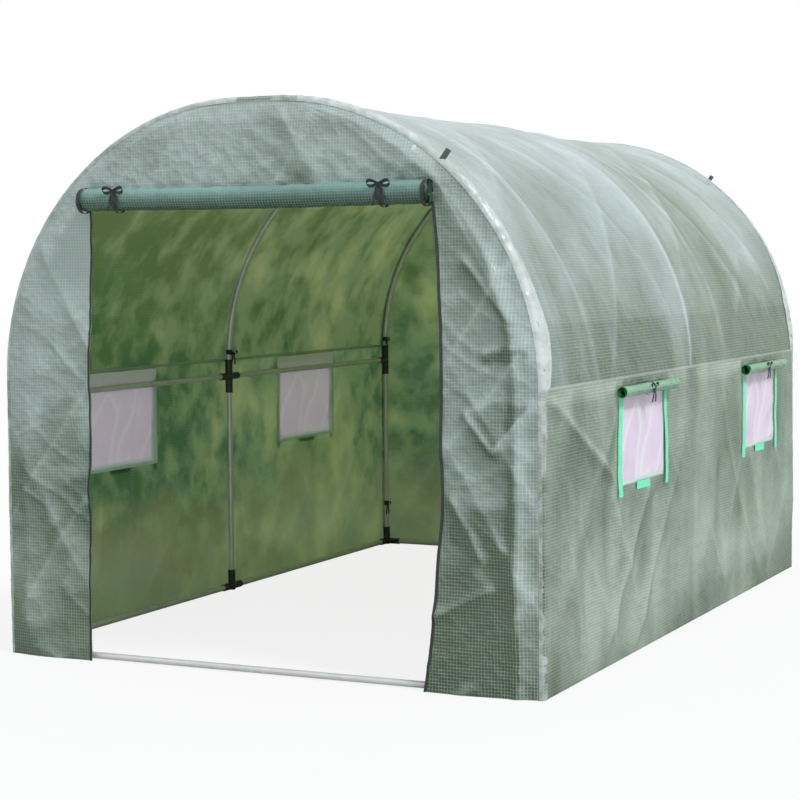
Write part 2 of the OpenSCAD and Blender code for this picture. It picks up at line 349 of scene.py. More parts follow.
def lining_colour(n, where):
    """Painted light of the garden shining through the sheet: greens that change with height, mottled by the
    light through the foliage, with sunlit glints, and palest short of the rear.
    """
    place = n.add("SeparateXYZ", Vector=where)
    drift = n.math("MULTIPLY_ADD", n.noise(where, 2.0, 4.0), 0.5, -0.25)
    level = n.math("MULTIPLY_ADD", place.outputs[2], 0.53, drift)
    fall = n.math("MULTIPLY_ADD", place.outputs[1], -2.0, 3.2)
    deep = n.math("MULTIPLY", n.math("MINIMUM", place.outputs[1], fall), 0.55)
    leaf_light = n.math("MULTIPLY_ADD", n.noise(where, 8.0, 9.0), 4.8, n.math("ADD", deep, -1.85))
    glints = n.math("MULTIPLY_ADD", n.noise(where, 3.6, 8.0), 5.5, n.math("ADD", deep, -2.85))
    for part in (leaf_light, glints):
        part.node.use_clamp = True
    colour = n.ramp(level, (0.46, 0.55, 0.34), (0.14, (0.44, 0.45, 0.23)), (0.26, (0.14, 0.29, 0.13)),
                    (0.48, (0.13, 0.28, 0.11)), (0.66, (0.22, 0.34, 0.12)), last=(0.30, 0.36, 0.14))
    colour = n.mix(n.math("MULTIPLY", leaf_light, 0.75), colour, rgb(0.50, 0.62, 0.32))
    return n.mix(n.math("MULTIPLY", glints, 0.55), colour, rgb(0.92, 0.92, 0.46))


def lining_material(name, thread):
    """The sheet from inside, with the light of the garden coming through it."""
    n = Nodes(name)
    uv = n.add("UVMap").outputs[0]
    where = n.add("TexCoord").outputs["Object"]
    colour = lining_colour(n, where)
    # Painted light and shade of the folds, a quarter as strong as outside.
    shaded = n.math("MULTIPLY", shade_at(n), 0.25)
    marks = n.math("MULTIPLY_ADD", grid_mask(n, uv, THREAD_PITCH, INNER_THREAD_W), 0.10, shaded)
    marks.node.use_clamp = True
    colour = n.mix(marks, colour, rgb(*thread))
    normal = crumple(n, uv, 0.3)
    front = n.add("BsdfPrincipled", Base_Color=colour, Roughness=0.55, Normal=normal)
    front.inputs["Specular IOR Level"].default_value = 0.2
    back = n.add("BsdfTranslucent", Color=colour, Normal=normal)
    return n.done(n.blend(0.75, front, back))


def net_material(name, face, glow):
    """Fine pale netting, part open, with a white head strip and a pale welted border."""
    n = Nodes(name)
    uv = n.add("UVMap").outputs[0]
    split = n.add("SeparateXYZ", Vector=uv)
    weave = grid_mask(n, uv, 0.003, 0.0013)
    slanted = n.add("Mapping", Vector=uv, Rotation=(0, 0, -0.45), Scale=(1.0, 3.3, 1.0))
    slanted.vector_type = "TEXTURE"
    folds = fold_lines(n, slanted.outputs[0], 6.0, 22.0)
    colour = n.mix(n.noise(uv, 7.0), rgb(*(0.74 * c for c in face)), rgb(*(min(1, 1.08 * c) for c in face)))
    # Painted highlights along the creases.
    colour = n.mix(n.math("MULTIPLY", folds, 0.8), colour, rgb(0.96, 0.94, 0.98))
    head = n.math("GREATER_THAN", split.outputs[1], HEAD_Z - HEAD_STRIP_H)
    low = n.math("LESS_THAN", split.outputs[1], SILL_Z + WELT_W)
    side = n.math("GREATER_THAN", n.math("ABSOLUTE", split.outputs[0]), WINDOW_W / 2 - WELT_W)
    welt = n.math("MAXIMUM", low, side)
    border = n.math("MAXIMUM", head, welt)
    colour = n.mix(n.math("MULTIPLY", welt, 0.8), colour, rgb(0.58, 0.84, 0.76))
    colour = n.mix(n.math("MULTIPLY", head, 0.8), colour, rgb(0.96, 0.95, 0.99))
    bump = n.add("Bump", Strength=0.5, Distance=0.004, Height=n.noise(uv, 14.0)).outputs[0]
    front = n.add("BsdfPrincipled", Base_Color=colour, Roughness=0.6, Normal=bump)
    back = n.add("BsdfTranslucent", Color=rgb(*glow), Normal=bump)
    clear = n.add("BsdfTransparent")
    body = n.blend(0.2, front, back)
    holes = n.math("MULTIPLY", n.math("SUBTRACT", 1.0, n.math("MAXIMUM", weave, border)), 0.22)
    return n.done(n.blend(holes, body, clear))


def tape_material(name, dark, light, rough=0.75):
    """Woven tape with a fine rib."""
    n = Nodes(name)
    uv = n.add("UVMap").outputs[0]
    ribs = n.add("TexWave", Vector=uv, Scale=240.0, Distortion=1.5).outputs["Fac"]
    colour = n.mix(n.noise(uv, 40.0), rgb(*dark), rgb(*light))
    bump = n.add("Bump", Strength=0.35, Distance=0.001, Height=ribs).outputs[0]
    return n.done(n.add("BsdfPrincipled", Base_Color=colour, Roughness=rough, Normal=bump))


def steel_material():
    """Galvanised tube, dulled in patches."""
    n = Nodes("galvanised_tube")
    where = n.add("TexCoord").outputs["Object"]
    patch = n.noise(where, 22.0, 5.0)
    colour = n.mix(patch, rgb(0.52, 0.51, 0.52), rgb(0.74, 0.72, 0.73))
    rough = n.math("ADD", 0.26, n.math("MULTIPLY", n.noise(where, 60.0), 0.25))
    return n.done(n.add("BsdfPrincipled", Base_Color=colour, Metallic=0.35, Roughness=rough))


def plastic_material():
    """Black moulded joint, a little uneven in tone and grain."""
    n = Nodes("joint_black")
    where = n.add("TexCoord").outputs["Object"]
    colour = n.mix(n.noise(where, 35.0, 5.0), rgb(0.012, 0.012, 0.013), rgb(0.035, 0.034, 0.035))
    bump = n.add("Bump", Strength=0.15, Distance=0.0006, Height=n.noise(where, 420.0)).outputs[0]
    return n.done(n.add("BsdfPrincipled", Base_Color=colour, Roughness=0.42, Normal=bump))


# Painted reflection: the roof film pales with height to a bluish white at its crown, as if mirroring the
# sky.
ROOF_FILM = film_material("roof_film", dark=(0.012, 0.066, 0.028), pale=(0.63, 0.73, 0.80),
                          lift=(0.84, -0.70), glow=(0.75, 0.84, 0.79), clouds=0.27, rough=0.2)
WALL_FILM = film_material("wall_film", dark=(0.010, 0.044, 0.016), pale=(0.33, 0.41, 0.33),
                          lift=(0.10, 0.13), glow=GREEN_LIGHT, clouds=0.60)
END_FILM = film_material("end_film", dark=(0.014, 0.050, 0.018), pale=(0.46, 0.54, 0.54),
                         lift=(0.62, -0.23), glow=GREEN_LIGHT, clouds=0.36, rough=0.2, crumpled=0.9)
LINING = lining_material("film_inside", THREAD)
# Painted highlight: the edge film is pale, as the crinkled hems catch the light.
EDGE_FILM = film_material("edge_film", dark=(0.16, 0.22, 0.16), pale=(0.80, 0.85, 0.82), lift=(0.05, 0.42),
                          thread=(0.86, 0.90, 0.87), rough=0.18, crumpled=1.0)
WELT_FILM = film_material("welt_film", dark=(0.20, 0.28, 0.21), pale=(0.46, 0.54, 0.47), lift=(0.05, 0.40))
# Painted highlight: the door and flap roll films pale steeply towards the tops of the rolls, and darken
# below.
DOOR_FILM = film_material("door_roll_film", dark=(0.018, 0.055, 0.025), pale=(0.25, 0.45, 0.40),
                          lift=(14.0, -21.65), thread=(0.31, 0.46, 0.41), glow=(0.06, 0.15, 0.07),
                          clouds=0.2, rough=0.25, crumpled=0.7, through=0.2)
FLAP_FILM = film_material("flap_roll_film", dark=(0.07, 0.24, 0.10), pale=(0.27, 0.48, 0.32),
                          lift=(8.0, -6.9), thread=(0.42, 0.60, 0.46), glow=(0.10, 0.30, 0.12),
                          clouds=0.2, rough=0.3, through=0.2, tips=(0.10, 0.50, 0.20))
NET = net_material("window_net", (0.93, 0.76, 0.97), (0.80, 0.58, 0.86))
MINT = tape_material("mint_tape", (0.14, 0.70, 0.40), (0.20, 0.80, 0.50), 0.8)
BLACK = tape_material("black_tape", (0.014, 0.017, 0.018), (0.04, 0.045, 0.047))
WEBBING = tape_material("grey_webbing", (0.06, 0.09, 0.08), (0.14, 0.18, 0.16))
STEEL = steel_material()
PLASTIC = plastic_material()


# Folds and curves of the cover

def slope(height, *axes):
    """How fast a height changes along each of the grid's two coordinates."""
    return [np.gradient(height, axis=i) / np.gradient(a, axis=i) for i, a in enumerate(axes)]


def crest(folds):
    """Thin painted highlights along the tops of folds."""
    return np.clip(folds, 0, 1) ** 7


def bay_slack(y):
    """0 at each hoop and 1 in the middle of a bay."""
    t = np.clip((y - HOOPS_Y[0]) / HOOP_STEP, 0, 2)
    t = np.where(t > 1, t - 1, t)
    return np.clip(4 * t * (1 - t), 0, 1)


def hoop_gather(s, y, seed):
    """Short puckers across the sheet beside the end hoops."""
    near = np.minimum(np.abs(y - HOOPS_Y[0]), np.abs(y - HOOPS_Y[2]))
    return np.exp(-near / 0.06) * creases(y, s, 0, 0.12, 0.035, seed)


def around_hoop(v):
    """Lengthwise place of a sheet that turns round both end hoops: its y, and how far it has turned in."""
    over = np.maximum(HOOPS_Y[0] - v, v - HOOPS_Y[2])
    angle = np.clip(over / SHEET_OFF, 0, math.pi / 2)
    y = np.clip(v, HOOPS_Y[0], HOOPS_Y[2])
    sign = np.where(v < MID_Y, -1.0, 1.0)
    return y + sign * SHEET_OFF * np.sin(angle), SHEET_OFF * (1 - np.cos(angle))


def roof_curve(s):
    """Point and outward direction on the roof at a length s from the left side seam."""
    quarter, flat = ROOF_R * math.pi / 2, 2 * ARM
    angle = np.where(s < quarter, s / ROOF_R, math.pi / 2)
    angle = np.where(s > quarter + flat, math.pi / 2 + (s - quarter - flat) / ROOF_R, angle)
    nx, nz = -np.cos(angle), np.sin(angle)
    cx = np.where(s <= quarter, -ARM, np.where(s >= quarter + flat, ARM, s - quarter - ARM))
    return cx + ROOF_R * nx, SPRING_Z + ROOF_R * nz, nx, nz


def ridge(u, v, start, end, width):
    """One straight fold between two points: 1 on its line, fading across its width and at both ends."""
    du, dv = end[0] - start[0], end[1] - start[1]
    length = math.hypot(du, dv)
    along = ((u - start[0]) * du + (v - start[1]) * dv) / length ** 2
    across = ((u - start[0]) * dv - (v - start[1]) * du) / length
    ends = np.clip(np.minimum(along, 1 - along) / 0.12 + 0.5, 0, 1)
    return np.exp((0.004 - np.hypot(across, 0.004)) / width) * ends


def within(u, v, corners):
    """1 inside a convex outline of points that go round anticlockwise, with a soft edge."""
    depth = np.full(np.shape(u), 1.0)
    for (u0, v0), (u1, v1) in zip(corners, corners[1:] + corners[:1]):
        side = (u1 - u0) * (v - v0) - (v1 - v0) * (u - u0)
        depth = np.minimum(depth, side / math.hypot(u1 - u0, v1 - v0))
    return np.clip(depth / 0.012, 0, 1)


# Roof and side walls

HOOP_TURN_STEPS = 6
V_STEPS = np.concatenate([
    HOOPS_Y[0] - TURN + np.linspace(0, TURN, HOOP_TURN_STEPS + 1)[:-1],
    stops(0.013, *HOOPS_Y),
    HOOPS_Y[2] + np.linspace(0, TURN, HOOP_TURN_STEPS + 1)[1:],
])

# Places along the roof where a fold goes over it from side to side.
ROOF_ARCS = (-1.30, -0.98, 0.47)
SEAM_BAND_TOP = 1.155


def make_roof():
    """The roof sheet, from side seam to side seam, slack between hoops and turned round the end hoops."""
    s, v = np.meshgrid(np.linspace(0, ROOF_RUN, 240), V_STEPS, indexing="ij")
    y, turned = around_hoop(v)
    x, z, nx, nz = roof_curve(s)
    share = s / ROOF_RUN
    free = np.abs(np.sin(2 * math.pi * share)) ** 0.7
    slack = bay_slack(y)
    wide, slant = creases(s, y, 24, 2.4, 0.34, 3), creases(s, y, -42, 2.0, 0.28, 4)
    arcs = sum(np.exp(-np.abs(y - at - 0.05 * np.sin(2.2 * s)) / 0.022) for at in ROOF_ARCS)
    off = -0.042 * slack * free - turned
    off += slack * free * (0.012 * wide + 0.011 * slant + 0.008 * arcs)
    off += 0.0030 * hoop_gather(s, y, 5) * (turned < 0.004)
    off += 0.0016 * value_noise(s / 0.05, y / 0.05, 6) * slack
    # Painted light: shading by the slope of the folds, and painted highlights on the fold crests and along
    # the arcs.
    shade = 1.3 * slope(off + turned, s, v)[1] + 0.30 * slack * (crest(wide) + crest(slant) + arcs)
    # A pale line over the middle hoop, and paler near the front hoop; darker in the middle of each bay, in a
    # band above the side seams and towards the rear.
    shade += 0.65 * np.exp(-np.abs(y - MID_Y) / 0.012) + 0.25 * np.exp(-(y - HOOPS_Y[0]) / 0.16)
    seam_band = (z > SPRING_Z + 0.004) & (z < SEAM_BAND_TOP)
    shade -= 0.22 * slack + 0.13 * seam_band + 0.16 * np.clip((y - MID_Y) / 0.4, 0, 1)
    points = np.stack([x + nx * off, y, z + nz * off], axis=-1)
    nodes = [f"{side}_roof_{part}" for side in ("left", "right") for part in ("haunch", "shoulder", "crown")]
    nodes.append("roof_ridge_strip")
    sheet_pair("cover_roof", points, np.stack([s, v], axis=-1), shade, ROOF_FILM, nodes)


# Broad patches of shade and sun on a side wall: middle as (y, z), reach along and up, and how much paler.
WALL_PATCHES = (
    ((0.75, 0.53), (0.55, 0.17), -0.28),
    ((0.85, 0.20), (0.60, 0.10), 0.40),
    ((-0.70, 0.20), (0.45, 0.16), 0.30),
    ((-1.05, 0.70), (0.25, 0.16), -0.20),
    ((0.20, 0.60), (0.35, 0.30), 0.35),
)


def wall_patches(y, z):
    """How much paler or darker the painted patches of sun and shade make a side wall."""
    total = 0
    for at, reach, gain in WALL_PATCHES:
        total = total + gain * np.exp(-((y - at[0]) / reach[0]) ** 2 - ((z - at[1]) / reach[1]) ** 2)
    return total


def wall_shape(z, y, seed):
    """How far a side wall stands out from flat, with its slack and slanting folds, and the painted
    highlights on its crests.
    """
    slack = bay_slack(y)
    hang = np.sin(math.pi * np.clip(z / EAVE_Z, 0, 1))
    low = np.clip(z / 0.12, 0, 1)
    rising, falling = creases(y, z, 50, 1.7, 0.22, seed), creases(y, z, -55, 1.5, 0.20, seed + 1)
    off = slack * (0.011 * rising * low + 0.010 * falling * low - 0.016 * hang)
    off += 0.006 * creases(y, z, 88, 0.5, 0.11, seed + 2) * hang + 0.002 * hoop_gather(z, y, seed + 3)
    return off, 0.42 * slack * low * (crest(rising) + crest(falling))


def wall_ease(y, z, windows):
    """1 where a wall can fold, easing to 0 at its side seam and round its windows."""
    ease = np.clip((SPRING_Z - z) / 0.05, 0, 1)
    for centre in windows:
        away = np.maximum(np.abs(y - centre) - WINDOW_W / 2, np.maximum(SILL_Z - z, z - HEAD_Z))
        ease = np.minimum(ease, np.clip((away - 0.012) / 0.05, 0, 1))
    return ease


def outside_windows(v, z, windows):
    """Which quads of a wall's grid are left once its windows are cut out."""
    zc, yc = (z[:-1, :-1] + z[1:, 1:]) / 2, (v[:-1, :-1] + v[1:, 1:]) / 2
    keep = np.ones(zc.shape, dtype=bool)
    for centre in windows:
        keep &= ~((np.abs(yc - centre) < WINDOW_W / 2) & (zc > SILL_Z) & (zc < CUT_Z))
    return keep


def make_wall(name, side, windows, node, seed):
    """One side of the cover, from hem to side seam, with its windows cut out."""
    marks = [HOOPS_Y[0]]
    for y in windows:
        marks += [y - WINDOW_W / 2, y + WINDOW_W / 2]
    mid = stops(0.012, *marks, HOOPS_Y[2])
    v_line = np.concatenate([V_STEPS[:HOOP_TURN_STEPS], mid, V_STEPS[-HOOP_TURN_STEPS:]])
    z, v = np.meshgrid(stops(0.012, HEM_Z, SILL_Z, CUT_Z, SPRING_Z), v_line, indexing="ij")
    y, turned = around_hoop(v)
    eave_corner = (HOOPS_Y[0] + 0.02, EAVE_Z + 0.045)
    window_corner = (windows[0] - WINDOW_W / 2 - 0.03, SILL_Z + 0.02)
    pull = ridge(y, z, eave_corner, window_corner, 0.014)
    folds, shade = wall_shape(z, y, seed)
    folds = (folds + 0.011 * pull) * wall_ease(y, z, windows)
    down, along = slope(folds, z, v)
    # Painted light: highlights on the crests and on the pulled ridge, shading by the slope of the folds, and
    # broad painted patches of sun and shade.
    shade = shade + 0.40 * pull + 2.0 * (0.5 * along - 0.8 * down) + wall_patches(y, z)
    off = folds - turned
    points = np.stack([side * (WALL_X + off), y, z], axis=-1)
    keep = outside_windows(v, z, windows)
    sheet_pair(name, points, np.stack([z, v], axis=-1), shade, WALL_FILM, [node],
               keep=keep, flip=side > 0)


# End panels

def door_edge(side, z):
    """X of the doorway's edge at a height: the free edge of the sheet isn't straight."""
    t = np.clip(z / DOOR_Z, 0, 1)
    if side > 0:
        return 0.602 + 0.225 * t - 0.192 * t * t + 0.007 * (value_noise(z / 0.21, z * 0, 18) - 0.5)
    return -(0.652 - 0.018 * t - 0.014 * t * t)


def panel_rim(z):
    """Half width of an end panel at a height."""
    above = np.clip((z - SPRING_Z) / BEND_R, 0, 1)
    return np.where(z <= SPRING_Z, HOOP_X, ARM + BEND_R * np.sqrt(1 - above ** 2))


def end_shape(x, z, rim, seed):
    """How far an end panel stands out from flat, fading out at its rim, and the painted highlights on its
    crests.
    """
    fade = np.clip((rim - np.abs(x)) / 0.07, 0, 1)
    rising, falling = creases(x, z, 55, 1.6, 0.22, seed), creases(x, z, -60, 1.4, 0.20, seed + 1)
    fine = creases(x, z, 20, 0.25, 0.055, seed + 2) + creases(x, z, -35, 0.22, 0.05, seed + 3)
    off = 0.016 * rising + 0.013 * falling + 0.0030 * fine
    return off * fade, 0.34 * (crest(rising) + crest(falling)) + 0.22 * crest(fine - 0.5)


def end_light(off, x, z):
    """How much darker an end panel is where its folds turn from the light."""
    rise, across = slope(off, z, x)
    return 1.1 * (0.7 * across + 0.6 * rise)


# Folds of the sheet to the right of the doorway, each from one point to another as (x, z), with its height.
RIGHT_FOLDS = (
    ((0.746, 0.887), (0.836, 0.759), 0.012),
    ((0.836, 0.759), (0.973, 0.917), 0.012),
    ((0.69, 0.62), (0.80, 0.42), 0.010),
    ((0.63, 0.24), (0.83, 0.34), 0.012),
    ((0.80, 1.07), (0.96, 1.09), 0.008),
    ((0.74, 1.36), (0.90, 1.17), 0.009),
)

# Places there that a fold turns towards the ground, which get painted shade, as outlines in (x, z).
RIGHT_HOLLOWS = (
    ((0.836, 0.765), (0.968, 0.91), (0.86, 0.93), (0.75, 0.885)),
    ((0.62, 0.05), (0.93, 0.04), (0.93, 0.20), (0.80, 0.32), (0.64, 0.24)),
    ((0.80, 1.03), (0.96, 1.04), (0.965, 1.09), (0.88, 1.10), (0.80, 1.07)),
    ((0.69, 0.47), (0.77, 0.46), (0.76, 0.53), (0.68, 0.53)),
)


def right_folds(x, z, inset):
    """What the folds on the right add to the sheet beside the doorway: how far out, and how much paler or
    darker in painted highlight and shade.
    """
    below = np.clip((DOOR_Z - 0.03 - z) / 0.2, 0, 1)
    off = 0.010 * below * np.exp(-((inset - 0.07) / 0.022) ** 2)
    # Painted highlight along the right edge of the sheet, broken up at random.
    mottle = value_noise(z / 0.07, x / 0.03, 19) - 0.2
    shade = 0.42 * below * np.clip((0.075 - inset) / 0.02, 0, 1) * mottle
    for start, end, height in RIGHT_FOLDS:
        fold = ridge(x, z, start, end, 0.014) * np.clip(inset / 0.03, 0, 1)
        off = off + height * fold
        # Painted highlights along the folds.
        shade = shade + 0.25 * fold ** 3
    # Painted shade in the hollows.
    for corners in RIGHT_HOLLOWS:
        shade = shade - 0.45 * within(x, z, corners)
    return off, shade


def beside_door(side, x, z):
    """How far the sheet beside the doorway stands out from flat, its painted highlights on crests and
    painted shade in folds, and its upper part painted lighter on the left and darker on the right.
    """
    rim = panel_rim(z)
    off, shade = end_shape(x, z, rim, FRONT_SEED)
    # Painted light: the upper part is lighter on the left, as more light falls there, and darker on the
    # right.
    shade = shade + (-0.10 if side > 0 else 0.28) * np.clip((z - 0.6) / 0.4, 0, 1)
    if side > 0:
        more_off, more_shade = right_folds(x, z, rim - np.abs(x))
        off, shade = off + more_off, shade + more_shade
    return off, shade


def front_y_at(side, x, z):
    """Y of the sheet beside the doorway."""
    return FRONT_SHEET_Y - beside_door(side, x, z)[0]


def make_front_side(name, side, node):
    """The sheet beside the doorway, from the doorway's edge to the end hoop."""
    top = SPRING_Z + math.sqrt(BEND_R ** 2 - (DOOR_X - ARM) ** 2) - 0.002
    z, t = np.meshgrid(stops(0.009, HEM_Z, SPRING_Z, top), np.linspace(0, 1, 46), indexing="ij")
    rim = panel_rim(z)
    edge = np.minimum(np.abs(door_edge(side, z)), rim - 0.0005)
    x = side * (edge + (rim - edge) * t)
    off, shade = beside_door(side, x, z)
    shade = shade - end_light(off, x, z)
    points = np.stack([x, FRONT_SHEET_Y - off, z], axis=-1)
    uv = np.stack([x, z], axis=-1)
    sheet_pair(name, points, uv, shade, END_FILM, [node], flip=side > 0)


def make_end_top(name, y, outward, bottom, half_w, node, seed):
    """The upper part of an end panel, or a whole one, between straight sides and the hoop."""
    top = SPRING_Z + BEND_R
    marks = [bottom, SPRING_Z, top] if bottom < SPRING_Z else [bottom, top]
    z, t = np.meshgrid(stops(0.012, *marks), np.linspace(-1, 1, 130), indexing="ij")
    x = t * np.minimum(panel_rim(z), half_w)
    off, shade = end_shape(x, z, panel_rim(z), seed)
    off = off * np.clip((top - z) / 0.06, 0, 1)
    shade = shade - end_light(off, x, z)
    points = np.stack([x, y + outward * off, z], axis=-1)
    uv = np.stack([x, z], axis=-1)
    sheet_pair(name, points, uv, shade, END_FILM, [node], flip=outward < 0)


# Seams, hems and tabs of the cover

def make_seams():
    """Welded seams along both sides of the roof, as tape outside and inside."""
    y = np.linspace(HOOPS_Y[0], HOOPS_Y[2], 120)
    clear = 0.0022
    strips = []
    for side in (-1, 1):
        for x in (WALL_X + clear, WALL_X - SHEET_GAP - clear):
            path = np.stack([np.full_like(y, side * x), y, np.full_like(y, SPRING_Z)], axis=-1)
            strips.append(ribbon("seam", path, (0, 0, 1), SEAM_W))
    seams = finish_piece(joined("cover_seams", strips), WELT_FILM, "cover_sheet")


def hoop_line(step):
    """An end hoop's centre line from hem to hem: its x and z, and its outward direction."""
    leg = np.arange(HEM_Z, SPRING_Z, step)
    x, z, nx, nz = roof_curve(np.arange(0, ROOF_RUN, step))
    one, zero = np.ones_like(leg), np.zeros_like(leg)
    return (np.concatenate([-HOOP_X * one, x - nx * SHEET_OFF, HOOP_X * one]),
            np.concatenate([leg, z - nz * SHEET_OFF, leg[::-1]]),
            np.concatenate([-one, nx, one]),
            np.concatenate([zero, nz, zero]))


def make_edge_band(name, y0, inward, seed):
    """The puckered hem of the sheet round an end hoop, widest over the right eave."""
    step, rows = 0.008, 12
    x, z, nx, nz = (a[:, None] for a in hoop_line(step))
    run = step * np.arange(len(x))[:, None]
    over_eave = np.exp(-((z - SPRING_Z - 0.16) / 0.16) ** 2) * (nx > 0)
    loose = np.where((nx > 0.1) & (z > SPRING_Z), 1.0, 0.3)
    uneven = value_noise(run / 0.05, run * 0, seed)
    reach = 0.007 + 0.012 * (loose > 0.5) + 0.046 * over_eave + 0.007 * uneven
    u = np.linspace(0, 1, rows)[None, :] * (TURN + reach)
    angle = np.clip(u / SHEET_OFF, 0, math.pi / 2)
    free = np.sin(math.pi * np.linspace(0.05, 0.95, rows))[None, :]
    lift = SHEET_OFF + 0.0014 + 0.0032 * creases(u, run, 0, 0.06, 0.026, seed + 1) * free * loose
    out = lift * np.sin(angle)
    y = y0 - inward * lift * np.cos(angle) + inward * np.maximum(u - TURN, 0)
    points = np.stack(np.broadcast_arrays(x + nx * out, y, z + nz * out), axis=-1)
    uv = np.stack(np.broadcast_arrays(run, u), axis=-1)
    # Painted shade where the dark joint sleeves lie under the hem and show through it.
    sleeve_shade = (np.abs(x) < 0.066) & (z > SPRING_Z) | (x < 0) & (np.abs(z - EAVE_Z) < 0.066)
    mottle = value_noise(run / 0.02, u / 0.02, seed + 2) - 0.5
    # Painted highlight: paler along the loose hem of the right arch and over the right eave, with random
    # mottling.
    shade = 0.55 * (loose - 0.6) + 0.35 * over_eave - 0.5 * sleeve_shade + 0.6 * mottle
    hem = grid_object(name, points, uv, flip=inward < 0, shade=np.broadcast_to(shade, points.shape[:2]))
    finish_piece(hem, EDGE_FILM, "cover_sheet")


def make_edge_tabs():
    """Dark webbing tabs that stand up from the seams of the end hoops, on the right."""
    tabs = []
    for share, y0, tall in ((0.735, HOOPS_Y[0] - 0.012, 0.036), (0.715, HOOPS_Y[2] + 0.012, 0.022)):
        x, z, nx, nz = (float(v) for v in roof_curve(np.array(share * ROOF_RUN)))
        t = np.linspace(-0.006, tall, 6)
        path = np.stack([x + nx * t, np.full_like(t, y0) - 0.15 * t, z + nz * t], axis=-1)
        tabs.append(ribbon("tab", path, (0.6 * nz, 0.55, -0.6 * nx), EDGE_TAB_W))
    piece = finish_piece(joined("cover_edge_tabs", tabs), WEBBING, "black_tape")


# Rolled door, windows and tapes

def roll_points(length, radius, turns, pitch, loose, seed):
    """A rolled sheet about the local X axis, its outer turn loose and creased: its points and flat place."""
    t, x = np.meshgrid(np.linspace(0, turns, round(turns * 36)),
                       np.linspace(-length / 2, length / 2, round(length / 0.0095)), indexing="ij")
    angle = 2 * math.pi * t
    flat = angle * radius
    depth = 0.9 * (pitch + loose) * np.clip(1.2 - t, 0.12, 1)
    dents = 0.62 * creases(x, flat, 80, 0.3, 0.05, seed)
    dents = dents + 0.38 * value_noise(x / 0.06, flat / 0.03, seed + 1)
    r = radius - pitch * t - loose * np.clip(t, 0, 1)
    r = r - depth * dents
    uneven = value_noise(angle, angle * 0, seed + 2) - 1
    ends = x + np.sign(x) * (np.abs(x) / (length / 2)) ** 8 * 0.006 * uneven
    return ends, r * np.cos(angle), r * np.sin(angle), np.stack([x, flat], axis=-1)


def make_door_roll():
    """The zip door, rolled up: its turns hold a sheet about as long as the doorway is high."""
    along, across, up, uv = roll_points(DOOR_ROLL_L, ROLL_R - 0.0005, turns=10.3, pitch=0.0029,
                                        loose=0.0025, seed=21)
    sag = -0.004 * np.cos(along / DOOR_ROLL_L * math.pi * 2) * 0.5
    points = np.stack([along + 0.008, ROLL_Y + across, ROLL_Z + up + sag], axis=-1)
    roll = grid_object("door_roll_sheet", points, uv)
    finish_piece(roll, DOOR_FILM, "rolled_sheet", "door_roll")


def make_flap_rolls(name, side, windows, node, seed):
    """The flaps of one wall's windows, rolled up: each holds a sheet that covers its window."""
    rolls = []
    for i, y0 in enumerate(windows):
        along, across, up, uv = roll_points(FLAP_L, FLAP_R - 0.0004, turns=4.2, pitch=0.0028,
                                            loose=0.002, seed=seed + 7 * i)
        points = np.stack([side * (FLAP_X + across), y0 + along, FLAP_Z + up], axis=-1)
        rolls.append(grid_object("flap", points, uv))
    flap = finish_piece(joined(name, rolls), FLAP_FILM, "rolled_sheet", node)


def make_nets(name, side, windows, node, seed):
    """The nets of one wall's windows, just inside the wall, with a few slack folds."""
    nets = []
    z_line = np.linspace(SILL_Z - 0.014, HEAD_Z + 0.007, 34)
    y_line = np.linspace(-NET_W / 2, NET_W / 2, 52)
    for i, y0 in enumerate(windows):
        z, y = np.meshgrid(z_line, y_line, indexing="ij")
        fade = np.clip((WINDOW_W / 2 - np.abs(y)) / 0.03, 0, 1)
        fade = fade * np.clip(np.minimum(z - SILL_Z, CUT_Z - z) / 0.03, 0, 1)
        off = 0.006 * creases(y, z, 70 - 40 * i, 0.25, 0.08, seed + i) * fade
        points = np.stack([side * (NET_X + off), y0 + y, z], axis=-1)
        nets.append(grid_object("net", points, np.stack([y, z], axis=-1)))
    net = finish_piece(joined(name, nets), NET, "window_mesh", node)


def window_tapes(side, y0, seed):
    """The fastening tape at both sides of one window, and the tab below it."""
    tapes = []
    z = np.linspace(SILL_Z - 0.035, FLAP_Z, 30)
    for edge, lean in ((-1, 0.2), (1, 0.05)):
        wave = 0.022 * (value_noise(z / 0.14, z * 0, seed + edge) - 0.5)
        out = 0.004 * value_noise(z / 0.07, z * 0, seed + edge + 20)
        y = y0 + edge * (WINDOW_W / 2 - 0.005) + wave
        path = np.stack([side * (TAPE_X + out), y, z], axis=-1)
        tapes.append(ribbon("strip", path, (lean * side, math.sqrt(1 - lean ** 2), 0), TAPE_W))
    y = np.linspace(-0.07, 0.07, 12)
    path = np.stack([np.full_like(y, side * TAPE_TAB_X), y0 + y, SILL_Z - 0.014 - 0.02 * y], axis=-1)
    tapes.append(ribbon("tab", path, (0, 0, 1), TAPE_TAB_W))
    return tapes


def make_strips():
    """Mint fastening tape round every window."""
    tapes = []
    for side, windows, seed in ((-1, LEFT_WINDOWS, 60), (1, RIGHT_WINDOWS, 70)):
        for i, y0 in enumerate(windows):
            tapes += window_tapes(side, y0, seed + 3 * i)
    strips = finish_piece(joined("window_fastening_tape", tapes), MINT, "mint_strip", "window_strips")


def make_zips():
    """Black zip tape along both edges of the doorway."""
    z = np.linspace(HEM_Z, ROLL_Z - 0.03, 90)
    tapes = []
    for side in (-1, 1):
        x = door_edge(side, z)
        path = np.stack([x + side * 0.004, front_y_at(side, x, z) - 0.003, z], axis=-1)
        tapes.append(ribbon("zip", path, (0.94, 0.34 * side, 0), TIE_W))
    zips = finish_piece(joined("door_zip_tape", tapes), BLACK, "black_tape", "door_edge_zips")


# Ties

